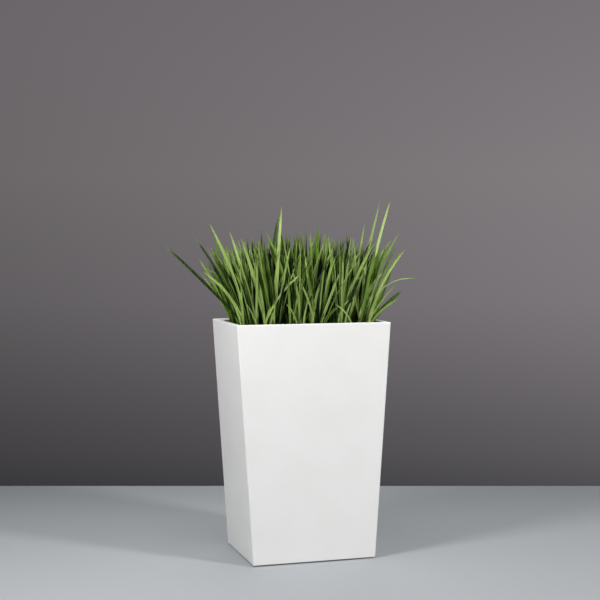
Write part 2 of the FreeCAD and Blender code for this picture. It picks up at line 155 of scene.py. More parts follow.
def add_piece(name, vertices, faces, body, sharp=SHARP):
    """A mesh object from arrays, shaded smooth but for edges sharper than an angle in degrees."""
    mesh = bpy.data.meshes.new(name)
    mesh.from_pydata(np.asarray(vertices).reshape(-1, 3).tolist(), [], [list(face) for face in faces])
    mesh.polygons.foreach_set("use_smooth", np.ones(len(mesh.polygons), dtype=bool))
    mesh.set_sharp_from_angle(angle=math.radians(sharp))
    mesh.update()
    piece = bpy.data.objects.new(name, mesh)
    bpy.context.scene.collection.objects.link(piece)
    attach(piece, body)
    return piece


def skin(points, close_rows=False):
    """Quads over points[row, column], whose columns join up; the rows join up or get end caps."""
    rows, columns = points.shape[:2]
    index = np.arange(rows * columns).reshape(rows, columns)
    caps = []
    if close_rows:
        index = np.vstack([index, index[:1]])
    else:
        caps = [index[0, ::-1].tolist(), index[-1].tolist()]
    index = np.hstack([index, index[:, :1]])
    quads = np.stack([index[:-1, :-1], index[:-1, 1:], index[1:, 1:], index[1:, :-1]], axis=-1)
    return quads.reshape(-1, 4).tolist() + caps


def give(piece, name, values):
    """Stores one number for each vertex under a name that a material can read."""
    store = piece.data.attributes.new(name, "FLOAT", "POINT")
    store.data.foreach_set("value", np.asarray(values, dtype=np.float32).ravel())


def half_width(height):
    """Half the shell's outside width: it grows evenly from the base to the rim."""
    share = (height - shell_low.z) / (shell_high.z - shell_low.z)
    return BASE_HALF_X + (shell_high.x - BASE_HALF_X) * share


floor_top = shell_low.z + FLOOR_THICKNESS
# Each corner is (distance in from the outside, height, radius of the upright corners there).
section = eased_line(
    [
        (FLOOR_RING, shell_low.z, INSIDE_CORNER),
        (0, shell_low.z, OUTSIDE_CORNER),
        (0, shell_high.z, OUTSIDE_CORNER),
        (RIM_WIDTH, shell_high.z, OUTSIDE_CORNER),
        (RIM_WIDTH, shell_high.z - RIM_FACE, OUTSIDE_CORNER),
        (WALL, shell_high.z - RIM_THICKNESS, INSIDE_CORNER),
        (WALL, floor_top, INSIDE_CORNER),
        (FLOOR_RING, floor_top, INSIDE_CORNER),
    ],
    [BASE_EDGE, RIM_EDGE, MOUTH_EDGE, RIM_UNDERSIDE_EDGE, HAUNCH, WELL_CORNER],
)
inset, level, corner = section.T
walls = squared_rings(half_width(level) - inset, shell_high.y - inset, corner, level)
# The bore's points stand at the same angles as the floor's, so the floor's quads run straight in.
bore_turn = np.arctan2(walls[-1, :, 1], walls[-1, :, 0])
bore_line = eased_line(
    [(BORE_RING, floor_top), (BORE, floor_top), (BORE, shell_low.z), (BORE_RING, shell_low.z)],
    [BORE_EDGE, BORE_EDGE],
    steps=3,
    margin=0.0004,
)
bore = round_rings(bore_line[:, 0], bore_line[:, 1], bore_turn)
shell_points = np.concatenate([walls, bore])
shell_faces = skin(shell_points, close_rows=True)
shell = add_piece("shell_skin", shell_points, shell_faces, "planter")
# Flow coat covers the inside below the rim's face and the bore, and fades in under the floor.
behind = (inset > WALL * 0.9) & (level < shell_high.z - RIM_FACE)
flow_coat = np.concatenate([behind, np.ones(len(bore))])
give(shell, "flow_coat", np.repeat(flow_coat, shell_points.shape[1]))
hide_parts("planter_shell")


class Signal:
    """An output socket that takes part in arithmetic: each operation adds its Math node."""

    def __init__(self, finish, socket):
        self.finish = finish
        self.socket = socket

    def __add__(self, other):
        return self.finish.math("ADD", self, other)

    def __sub__(self, other):
        return self.finish.math("SUBTRACT", self, other)

    def __rsub__(self, other):
        return self.finish.math("SUBTRACT", other, self)

    def __mul__(self, other):
        return self.finish.math("MULTIPLY", self, other)

    __radd__ = __add__
    __rmul__ = __mul__


class Finish:
    """A material or a world while it is made: node() adds any node, the rest name usual ones."""

    def __init__(self, name, world=None):
        self.material = world or bpy.data.materials.new(name)
        self.material.use_nodes = True
        self.tree = self.material.node_tree
        self.shader = self.tree.nodes["Background" if world else "Principled BSDF"]
        self.place = self.node("ShaderNodeTexCoord", {}, {}, "Generated" if world else "Object")

    def node(self, kind, settings, sockets, output=0):
        """Adds a node. Its settings are made first, then each socket gets a value or a link."""
        made = self.tree.nodes.new(kind)
        for name, value in settings.items():
            if name == "stops":
                stops = made.color_ramp.elements
                while len(stops) < len(value):
                    stops.new(1)
                for stop, (place, colour) in zip(stops, value):
                    stop.position = place
                    stop.color = (*colour, 1)
            else:
                setattr(made, name, value)
        for name, value in sockets.items():
            self.feed(made.inputs[name], value)
        return Signal(self, made.outputs[output])

    def feed(self, socket, value):
        """Links a signal to a socket, or sets the socket to a number or a colour."""
        if isinstance(value, Signal):
            self.tree.links.new(value.socket, socket)
        elif socket.type == "RGBA":
            socket.default_value = (*value, 1)
        else:
            socket.default_value = value

    def math(self, operation, first, second):
        """One step of arithmetic on two signals or numbers."""
        return self.node("ShaderNodeMath", {"operation": operation}, {0: first, 1: second})

    def noise(self, scale, detail, place=None):
        """Cloudy noise between 0 and 1; scale is in clouds per metre."""
        sockets = {"Vector": place or self.place, "Scale": scale, "Detail": detail}
        return self.node("ShaderNodeTexNoise", {}, sockets)

    def stretched(self, factors, turn=(0, 0, 0)):
        """Object coordinates turned and scaled along each axis."""
        sockets = {"Vector": self.place, "Rotation": turn, "Scale": factors}
        return self.node("ShaderNodeMapping", {}, sockets)

    def fade(self, value, low, high):
        """0 below low, 1 above high, eased between them."""
        sockets = {"Value": value, "From Min": low, "From Max": high}
        return self.node("ShaderNodeMapRange", {"interpolation_type": "SMOOTHSTEP"}, sockets)

    def mix(self, share, first, second):
        """A colour between two colours, which are the node's sockets 6 and 7 and its output 2."""
        return self.node("ShaderNodeMix", {"data_type": "RGBA"}, {0: share, 6: first, 7: second}, 2)

    def stored(self, name):
        """The number that a mesh keeps for each vertex under a name."""
        return self.node("ShaderNodeAttribute", {"attribute_name": name}, {}, "Fac")

    def relief(self, height, depth, under=None):
        """Shades the surface as if raised by height times depth in metres."""
        sockets = {"Strength": 1.0, "Distance": depth, "Height": height}
        if under is not None:
            sockets["Normal"] = under
        return self.node("ShaderNodeBump", {}, sockets)

    def cover(self, *pieces, **sockets):
        """Sets the shader's sockets, named with _ for a space, and puts the material on pieces."""
        for name, value in sockets.items():
            self.feed(self.shader.inputs[name.replace("_", " ")], value)
        for piece in pieces:
            piece.data.materials.clear()
            piece.data.materials.append(self.material)


def shade(red, green, blue):
    """A colour given as a screen shows it, 0 to 255, as the light values that shaders use.

    Each is ((value / 255 + 0.055) / 1.055) ^ 2.4, the curve of a usual screen.
    """
    share = (np.array([red, green, blue]) / 255 + 0.055) / 1.055
    return tuple((share**2.4).tolist())


GELCOAT = shade(240, 239, 237)
GELCOAT_DULLED = shade(236, 235, 232)
FLOW_COAT = shade(214, 213, 208)
FLOW_COAT_THIN = shade(192, 191, 184)
GELCOAT_ROUGHNESS = 0.34
FLOW_COAT_ROUGHER = 0.2
RIPPLE_DEPTH = 0.0007
PEEL_DEPTH = 0.000015
STRAND_DEPTH = 0.0004

gelcoat = Finish("white_gelcoat")
inside = gelcoat.stored("flow_coat")
drift = gelcoat.fade(gelcoat.noise(9, 3), 0.35, 0.7)
along_strands = gelcoat.stretched((1, 1, 3), (0.4, 0.9, 0.3))
strands = gelcoat.fade(gelcoat.noise(70, 4, along_strands), 0.38, 0.66)
outside_colour = gelcoat.mix(drift * 0.6, GELCOAT, GELCOAT_DULLED)
inside_colour = gelcoat.mix(strands, FLOW_COAT, FLOW_COAT_THIN)
# The mould leaves long ripples, the gelcoat a faint orange peel and the brush the strands' relief.
ripple = gelcoat.relief(gelcoat.noise(11, 1), RIPPLE_DEPTH)
peel = gelcoat.relief(gelcoat.noise(420, 1), PEEL_DEPTH, ripple)
brushed = gelcoat.relief(strands * inside, STRAND_DEPTH, peel)
gelcoat.cover(
    shell,
    Base_Color=gelcoat.mix(inside, outside_colour, inside_colour),
    Roughness=drift * 0.06 + inside * FLOW_COAT_ROUGHER + GELCOAT_ROUGHNESS,
    Specular_IOR_Level=0.45,
    Normal=brushed,
)

# ---- feet ----
# Four low discs of black rubber stuck under the floor, in from the corners. A ring groove in the
# sole lets each one grip.

foot_names = ("foot_front_left", "foot_front_right", "foot_back_left", "foot_back_right")
SOLE_GROOVE = 0.0006
GROOVE_OUT = 0.7
GROOVE_IN = 0.5
GROOVE_EDGE = 0.0002
SOLE_EDGE = 0.0009
FOOT_TOP_EDGE = 0.0005
FOOT_MIDDLE = 0.05
FULL_TURN = np.linspace(0, 2 * math.pi, 64, endpoint=False)


def turned(line, centre):
    """A line of (radius, height) spun about an upright axis through centre."""
    points = round_rings(line[:, 0], line[:, 1], FULL_TURN)
    points[:, :, :2] += centre
    return points


feet = []
for foot_name in foot_names:
    low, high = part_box(foot_name)
    radius = (high.x - low.x) / 2
    middle = radius * FOOT_MIDDLE
    groove_out = radius * GROOVE_OUT
    groove_in = radius * GROOVE_IN
    foot_line = eased_line(
        [
            (middle, low.z),
            (groove_in, low.z),
            (groove_in, low.z + SOLE_GROOVE),
            (groove_out, low.z + SOLE_GROOVE),
            (groove_out, low.z),
            (radius, low.z),
            (radius, high.z),
            (middle, high.z),
        ],
        [GROOVE_EDGE, GROOVE_EDGE, GROOVE_EDGE, GROOVE_EDGE, SOLE_EDGE, FOOT_TOP_EDGE],
        steps=3,
        margin=0.0001,
    )
    foot_points = turned(foot_line, ((low.x + high.x) / 2, (low.y + high.y) / 2))
    foot = add_piece(foot_name + "_rubber", foot_points, skin(foot_points), "planter")
    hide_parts(foot_name)
    feet.append(foot)

RUBBER = shade(38, 38, 39)
RUBBER_DUSTY = shade(62, 61, 59)
RUBBER_ROUGHNESS = 0.6

rubber = Finish("black_rubber")
bloom = rubber.fade(rubber.noise(60, 4), 0.45, 0.75)
rubber.cover(
    *feet,
    Base_Color=rubber.mix(bloom * 0.7, RUBBER, RUBBER_DUSTY),
    Roughness=bloom * 0.15 + RUBBER_ROUGHNESS,
    Normal=rubber.relief(rubber.noise(900, 2), 0.00004),
)

# ---- drain plug ----
# A black rubber stopper for the hole in the floor. The stem, narrowed at its tip, seals in the
# bore, the flat head lies on the floor, and a waisted grip stands up to pull it by.

plug_low, plug_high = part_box("drain_plug")
PLUG_STEM = 0.0097
PLUG_LEAD = 0.002
PLUG_HEAD_HEIGHT = 0.004
PLUG_NECK = 0.004
PLUG_SHOULDER = 0.0052
PLUG_GRIP = 0.006
PLUG_GRIP_HEIGHT = 0.003
PLUG_WAIST = 0.45
PLUG_LIFT = 0.0001
PLUG_MIDDLE = 0.0008
PLUG_ROUNDING = (0.0005, 0.0015, 0.0003, 0.0008, 0.0012, 0.0015, 0.002, 0.001, 0.001)
head = plug_high.x
head_base = floor_top + PLUG_LIFT
head_top = floor_top + PLUG_HEAD_HEIGHT
waist = head_top + (plug_high.z - head_top) * PLUG_WAIST
plug_line = eased_line(
    [
        (PLUG_MIDDLE, plug_low.z),
        (PLUG_STEM - PLUG_LEAD / 2, plug_low.z),
        (PLUG_STEM, plug_low.z + PLUG_LEAD),
        (PLUG_STEM, head_base),
        (head, head_base),
        (head, head_top),
        (PLUG_SHOULDER, head_top),
        (PLUG_NECK, waist),
        (PLUG_GRIP, plug_high.z - PLUG_GRIP_HEIGHT),
        (PLUG_GRIP, plug_high.z),
        (PLUG_MIDDLE, plug_high.z),
    ],
    PLUG_ROUNDING,
    steps=5,
    margin=0.00015,
)
plug_points = turned(plug_line, (0, 0))
plug = add_piece("drain_plug_rubber", plug_points, skin(plug_points), "plug")
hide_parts("drain_plug")
rubber.cover(plug)

# ---- cleats ----
# Four wedges of bare glass-fibre laminate bonded to the leaning side walls, with a level seat on
# top for the false bottom. The glass strands show through the resin.

cleat_names = ("cleat_left_front", "cleat_left_back", "cleat_right_front", "cleat_right_back")
cleats = [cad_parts[name] for name in cleat_names]

LAMINATE = shade(206, 200, 176)
LAMINATE_STRAND = shade(226, 222, 205)
LAMINATE_RESIN = shade(176, 168, 138)
LAMINATE_ROUGHNESS = 0.62

laminate = Finish("raw_laminate")
one_way = laminate.noise(160, 2, laminate.stretched((1, 9, 5), (0.3, 0.2, 0.6)))
other_way = laminate.noise(160, 2, laminate.stretched((9, 1, 5), (0.1, 0.5, -0.5)))
mat = laminate.fade(laminate.math("MAXIMUM", one_way, other_way), 0.5, 0.68)
resin = laminate.fade(laminate.noise(25, 3), 0.4, 0.7)
laminate.cover(
    *cleats,
    Base_Color=laminate.mix(mat, laminate.mix(resin, LAMINATE, LAMINATE_RESIN), LAMINATE_STRAND),
    Roughness=LAMINATE_ROUGHNESS - resin * 0.2,
    Normal=laminate.relief(mat, 0.0003),
)

# ---- false bottom ----
# A flat plate of the same laminate that lies loose on the cleats and carries the planting. Its
# corners are rounded to clear the walls, and eight holes let water through.

plate_low, plate_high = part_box("false_bottom")
PLATE_CORNER = 0.012
PLATE_EDGE = 0.0012
PLATE_RING = 0.02
CORNER_EASE = 0.4
DRAIN_RADIUS = 0.006
DRAIN_PITCH_X = 0.080
DRAIN_PITCH_Y = 0.100
DRAIN_COLUMNS = 4
DRAIN_ROWS = 2
DRILL_OVERRUN = 0.01


def repeated(faces, steps):
    """The same faces once for each step, which is added to all their vertex numbers."""
    numbers = np.concatenate(faces) + np.array(steps)[:, None]
    ends = np.cumsum([len(face) for face in faces])[:-1]
    return [face for once in numbers for face in np.split(once, ends)]


def drill_drains(piece, low, high):
    """Cuts the grid of round drain holes through a piece between two heights."""
    column, row = np.meshgrid(np.arange(DRAIN_COLUMNS), np.arange(DRAIN_ROWS))
    across = (column.ravel() - (DRAIN_COLUMNS - 1) / 2) * DRAIN_PITCH_X
    along = (row.ravel() - (DRAIN_ROWS - 1) / 2) * DRAIN_PITCH_Y
    drill = round_rings([DRAIN_RADIUS, DRAIN_RADIUS], [low, high], FULL_TURN[::2])
    drills = drill[None] + np.stack([across, along, across * 0], axis=1)[:, None, None]
    steps = np.arange(len(across)) * drill.shape[0] * drill.shape[1]
    mesh = bpy.data.meshes.new("drills")
    mesh.from_pydata(drills.reshape(-1, 3).tolist(), [], repeated(skin(drill), steps))
    cutter = bpy.data.objects.new("drills", mesh)
    bpy.context.scene.collection.objects.link(cutter)
    cut = piece.modifiers.new("drains", "BOOLEAN")
    cut.operation = "DIFFERENCE"
    cut.object = cutter
    bpy.context.view_layer.objects.active = piece
    bpy.ops.object.modifier_apply(modifier=cut.name)
    bpy.data.objects.remove(cutter)
    piece.data.set_sharp_from_angle(angle=math.radians(SHARP))


plate_line = eased_line(
    [(PLATE_RING, plate_low.z), (0, plate_low.z), (0, plate_high.z), (PLATE_RING, plate_high.z)],
    [PLATE_EDGE, PLATE_EDGE],
    steps=3,
)
plate_inset, plate_level = plate_line.T
plate_points = squared_rings(
    plate_high.x - plate_inset,
    plate_high.y - plate_inset,
    PLATE_CORNER - plate_inset * CORNER_EASE,
    plate_level,
)
plate = add_piece("false_bottom_plate", plate_points, skin(plate_points), "shelf")
drill_drains(plate, plate_low.z - DRILL_OVERRUN, plate_high.z + DRILL_OVERRUN)
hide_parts("false_bottom")
laminate.cover(plate)

# ---- liner ----
# A black plastic tub drawn to shape, narrower at its foot, with a turned-out lip to lift it by
# and drain holes in line with those of the false bottom.

liner_low, liner_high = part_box("liner")
LIP_WIDTH = 0.006
LIP_THICKNESS = 0.004
LINER_WALL = 0.003
LINER_TAPER = 0.010
LINER_CORNER = 0.010
LINER_RING = 0.02
TUB_CORNER = 0.003
LIP_EDGE = 0.0012
liner_floor = liner_low.z + LINER_WALL


def liner_narrowing(height):
    """How much nearer the middle the tub's wall stands at a height than at its top."""
    return LINER_TAPER * (liner_high.z - height) / (liner_high.z - liner_low.z)


liner_line = eased_line(
    [
        (LINER_RING, liner_low.z, LINER_CORNER),
        (0, liner_low.z, LINER_CORNER),
        (0, liner_high.z - LIP_THICKNESS, LINER_CORNER),
        (-LIP_WIDTH, liner_high.z - LIP_THICKNESS, LINER_CORNER),
        (-LIP_WIDTH, liner_high.z, LINER_CORNER),
        (LINER_WALL, liner_high.z, LINER_CORNER),
        (LINER_WALL, liner_floor, LINER_CORNER),
        (LINER_RING, liner_floor, LINER_CORNER),
    ],
    [TUB_CORNER, LIP_EDGE, LIP_EDGE, LIP_EDGE, LIP_EDGE, TUB_CORNER],
    steps=4,
    margin=0.0004,
)
liner_inset, liner_level, liner_round = liner_line.T
liner_half = liner_narrowing(liner_level) + liner_inset + LIP_WIDTH
liner_points = squared_rings(
    liner_high.x - liner_half,
    liner_high.y - liner_half,
    liner_round,
    liner_level,
)
liner = add_piece("liner_tub", liner_points, skin(liner_points), "planting")
drill_drains(liner, liner_low.z - DRILL_OVERRUN, liner_floor + DRILL_OVERRUN)
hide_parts("liner")

PLASTIC = shade(34, 35, 36)
PLASTIC_SCUFFED = shade(58, 58, 57)
PLASTIC_ROUGHNESS = 0.42

plastic = Finish("black_liner")
scuffs = plastic.fade(plastic.noise(30, 5, plastic.stretched((1, 1, 0.25))), 0.5, 0.75)
plastic.cover(
    liner,
    Base_Color=plastic.mix(scuffs, PLASTIC, PLASTIC_SCUFFED),
    Roughness=scuffs * 0.2 + PLASTIC_ROUGHNESS,
    Normal=plastic.relief(plastic.noise(260, 2), 0.00005),
)

# ---- potting soil ----
# Dark peat poured into the liner, which it fills to below the lip. Its top is uneven and strewn
# with bits of bark.

soil_low, soil_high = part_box("potting_soil")
SOIL_FIT = 0.0003
SOIL_SLUMP = 0.004
SLUMP_REACH = 0.012
SLUMP_LEFT = 0.3
OPEN_FROM = 0.6
SOIL_DISH = 0.0012
SOIL_RING = 0.05
SOIL_ROUNDING = (0.003, 0.002)
SOIL_CORNER = 0.008
LEAST_CORNER = 0.0004
CORNER_CLOSING = 0.07
SOIL_SHARES = np.linspace(0.02, 0.98, 25)
# How far in from the liner's wall the open ground has its rows of points.
OPEN_ROWS = np.linspace(0.016, 0.108, 36)
# Each wave has its turns along X and along Y in radians per metre, and its height.
LUMPS = (
    (38, 11, 0.0011),
    (-17, 44, 0.0010),
    (71, 63, 0.0008),
    (-96, 58, 0.0006),
    (133, -121, 0.0005),
)
soil_top = soil_high.z


def lumps(across, along):
    """Height of the soil above its mean level: a sum of crossing waves.

    Each one is its height * sin(turns along X * across + turns along Y * along + turns along X).
    """
    return sum(high * np.sin(in_x * across + in_y * along + in_x) for in_x, in_y, high in LUMPS)


# The soil stands lower along the walls, where it slumps, than in the open. The lumps are on the
# open ground only.
soil_walls = eased_line(
    [
        (SOIL_RING, soil_low.z),
        (0, soil_low.z),
        (0, soil_top - SOIL_SLUMP),
        (SLUMP_REACH, soil_top - SOIL_SLUMP * SLUMP_LEFT),
    ],
    SOIL_ROUNDING,
    steps=2,
)
open_line = np.stack([OPEN_ROWS, np.full(len(OPEN_ROWS), soil_top - SOIL_DISH)], axis=1)
soil_inset, soil_level = np.concatenate([soil_walls, open_line]).T
soil_half = liner_narrowing(soil_level) + LIP_WIDTH + LINER_WALL + SOIL_FIT + soil_inset
soil_points = squared_rings(
    liner_high.x - soil_half,
    liner_high.y - soil_half,
    np.maximum(SOIL_CORNER - soil_inset * CORNER_CLOSING, LEAST_CORNER),
    soil_level,
    shares=SOIL_SHARES,
)
open_ground = soil_points[:, :, 2] > soil_top - SOIL_SLUMP * OPEN_FROM
soil_points[:, :, 2] += open_ground * lumps(soil_points[:, :, 0], soil_points[:, :, 1])
soil_faces = skin(soil_points)
soil = add_piece("potting_soil_fill", soil_points, soil_faces, "planting", sharp=60)
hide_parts("potting_soil")

BARK_SEED = 5
CHIPS = 520
CHIP_LENGTH = (0.004, 0.013)
CHIP_SHAPE = (1, 0.45, 0.22)
CHIP_SINK = 0.0006
CHIP_RAGGED = 0.3
CHIP_TILT = 0.5
CHIP_MARGIN = 0.016
chance = np.random.default_rng(BARK_SEED)
chip_reach = (liner_high.x - CHIP_MARGIN, liner_high.y - CHIP_MARGIN)
chip_place = chance.uniform(-1, 1, (CHIPS, 2)) * chip_reach
chip_height = soil_top - CHIP_SINK + lumps(*chip_place.T)
chip_length = chance.uniform(*CHIP_LENGTH, CHIPS)
chip_half = chip_length[:, None] * CHIP_SHAPE / 2
cube = np.array([(x, y, z) for z in (-1, 1) for x, y in ((-1, -1), (1, -1), (1, 1), (-1, 1))])
cube_sides = [(0, 1, 5, 4), (1, 2, 6, 5), (2, 3, 7, 6), (3, 0, 4, 7)]
cube_faces = [(3, 2, 1, 0), (4, 5, 6, 7)] + cube_sides


def turned_about_up(points, turn, tilt):
    """Points tilted about their own X axis, then turned about +Z."""
    x, y, z = np.moveaxis(points, -1, 0)
    tilted_y = y * np.cos(tilt) - z * np.sin(tilt)
    tilted_z = y * np.sin(tilt) + z * np.cos(tilt)
    turned_x = x * np.cos(turn) - tilted_y * np.sin(turn)
    turned_y = x * np.sin(turn) + tilted_y * np.cos(turn)
    return np.stack([turned_x, turned_y, tilted_z], axis=-1)


chip_ragged = chance.uniform(-CHIP_RAGGED, CHIP_RAGGED, (CHIPS, *cube.shape))
chip_corners = (cube + chip_ragged) * chip_half[:, None]
chip_turn = chance.uniform(0, math.pi, (CHIPS, 1))
chip_tilt = chance.uniform(-CHIP_TILT, CHIP_TILT, (CHIPS, 1))
chip_corners = turned_about_up(chip_corners, chip_turn, chip_tilt)
chip_corners += np.column_stack([chip_place, chip_height])[:, None]
chip_faces = repeated(cube_faces, range(0, CHIPS * len(cube), len(cube)))
chips = add_piece("bark_bits", chip_corners, chip_faces, "planting", sharp=20)
give(chips, "tone", np.repeat(chance.uniform(0, 1, CHIPS), len(cube)))

PEAT = shade(38, 29, 22)
PEAT_DRY = shade(74, 58, 44)
BARK = shade(88, 62, 42)
BARK_PALE = shade(134, 106, 78)
PEAT_ROUGHNESS = 0.95
BARK_ROUGHNESS = 0.88

peat = Finish("potting_soil")
crumbs = peat.noise(240, 6)
peat.cover(
    soil,
    Base_Color=peat.mix(peat.fade(crumbs, 0.4, 0.68), PEAT, PEAT_DRY),
    Roughness=PEAT_ROUGHNESS,
    Normal=peat.relief(crumbs, 0.002),
)
bark = Finish("bark")
grain = bark.noise(300, 4, bark.stretched((1, 1, 4)))
bark.cover(
    chips,
    Base_Color=bark.mix(bark.stored("tone") * 0.7 + grain * 0.3, BARK, BARK_PALE),
    Roughness=BARK_ROUGHNESS,
    Normal=bark.relief(grain, 0.0006),
)

# ---- camera ----
# It stands to the left of the front, above the rim, and looks slightly down. Its numbers were
# fitted to the planter's corners in the picture, and it turns the places read off the picture
# below into real ones.

PICTURE = 600
LENS = 80.9
SENSOR = 36.0
EYE_DISTANCE = 3.520
EYE_HEIGHT = 0.855
YAW = math.radians(16.90)
PITCH = math.radians(3.12)

camera_data = bpy.data.cameras.new("camera")
camera_data.lens = LENS
camera_data.sensor_width = SENSOR
camera = bpy.data.objects.new("camera", camera_data)
camera.location = (-EYE_DISTANCE * math.sin(YAW), -EYE_DISTANCE * math.cos(YAW), EYE_HEIGHT)
camera.rotation_euler = (math.pi / 2 - PITCH, 0, -YAW)
bpy.context.scene.collection.objects.link(camera)
bpy.context.scene.camera = camera


def seen_at(pixel, depth):
    """The point that shows at a pixel and lies at a distance behind the planter's middle.

    The pixel's ray leaves the eye along forward + right * across + up * above, where across and
    above are pixels from the picture's middle over the lens's length in pixels. It is followed
    until its Y is the depth.
    """
    focal = PICTURE * LENS / SENSOR
    across = (pixel[..., 0] - PICTURE / 2) / focal
    above = (PICTURE / 2 - pixel[..., 1]) / focal
    right = np.array([math.cos(YAW), -math.sin(YAW), 0])
    level_share = math.cos(PITCH)
    forward = np.array([math.sin(YAW) * level_share, math.cos(YAW) * level_share, -math.sin(PITCH)])
    up = np.cross(right, forward)
    ray = forward + across[..., None] * right + above[..., None] * up
    eye = np.array(camera.location)
    return eye + ray * ((depth - eye[1]) / ray[..., 1])[..., None]


# ---- grass ----
# Twenty-four tufts of ornamental grass, each with blades fanning out of a crown on top of a
# tapered root plug that is planted in the soil. Blades are folded along the middle, narrow to a
# point and cross each other.

TUFT_PITCH_X = 0.058
TUFT_PITCH_Y = 0.054
TUFT_COLUMNS = 6
TUFT_ROWS = 4
CROWN = 0.010
CROWN_EDGE = 0.003
CROWN_TOP = 0.004
ROOT_PLUG = 0.0115
ROOT_PLUG_FOOT = ROOT_PLUG * 0.8
ROOT_DEPTH = 0.029
ROOT_MIDDLE = 0.0008
ROOT_ROUNDING = (0.001, 0.002, 0.002)
# Blades start this far under the top of the soil.
BURIED = 0.002
FOLD = 0.26
THICKNESS = 0.0005
TIP_THINNING = 0.3
FACE_LIFT = 0.25
BOX_MARGIN = 0.002
TWIST_SCATTER = 0.5
# Shares of the way along a blade, and how much of its full width it has there.
STATIONS = np.array([0, 0.1, 0.24, 0.4, 0.56, 0.7, 0.82, 0.91, 0.97, 1.0])
FULLNESS = np.array([0.55, 0.72, 0.9, 1.0, 1.0, 0.94, 0.82, 0.62, 0.36, 0.06])

tuft_column, tuft_row = np.divmod(np.arange(TUFT_COLUMNS * TUFT_ROWS), TUFT_ROWS)
tuft_place = np.stack(
    [
        (tuft_column - (TUFT_COLUMNS - 1) / 2) * TUFT_PITCH_X,
        (tuft_row - (TUFT_ROWS - 1) / 2) * TUFT_PITCH_Y,
    ],
    axis=1,
)

# The picture's row at which it is read how far across the blades leave the soil.
ROOT_ROW = 332
LEADING_WIDTH = 0.85
LEADING_FORWARD = 0.022
LEADING_SCATTER = 0.35
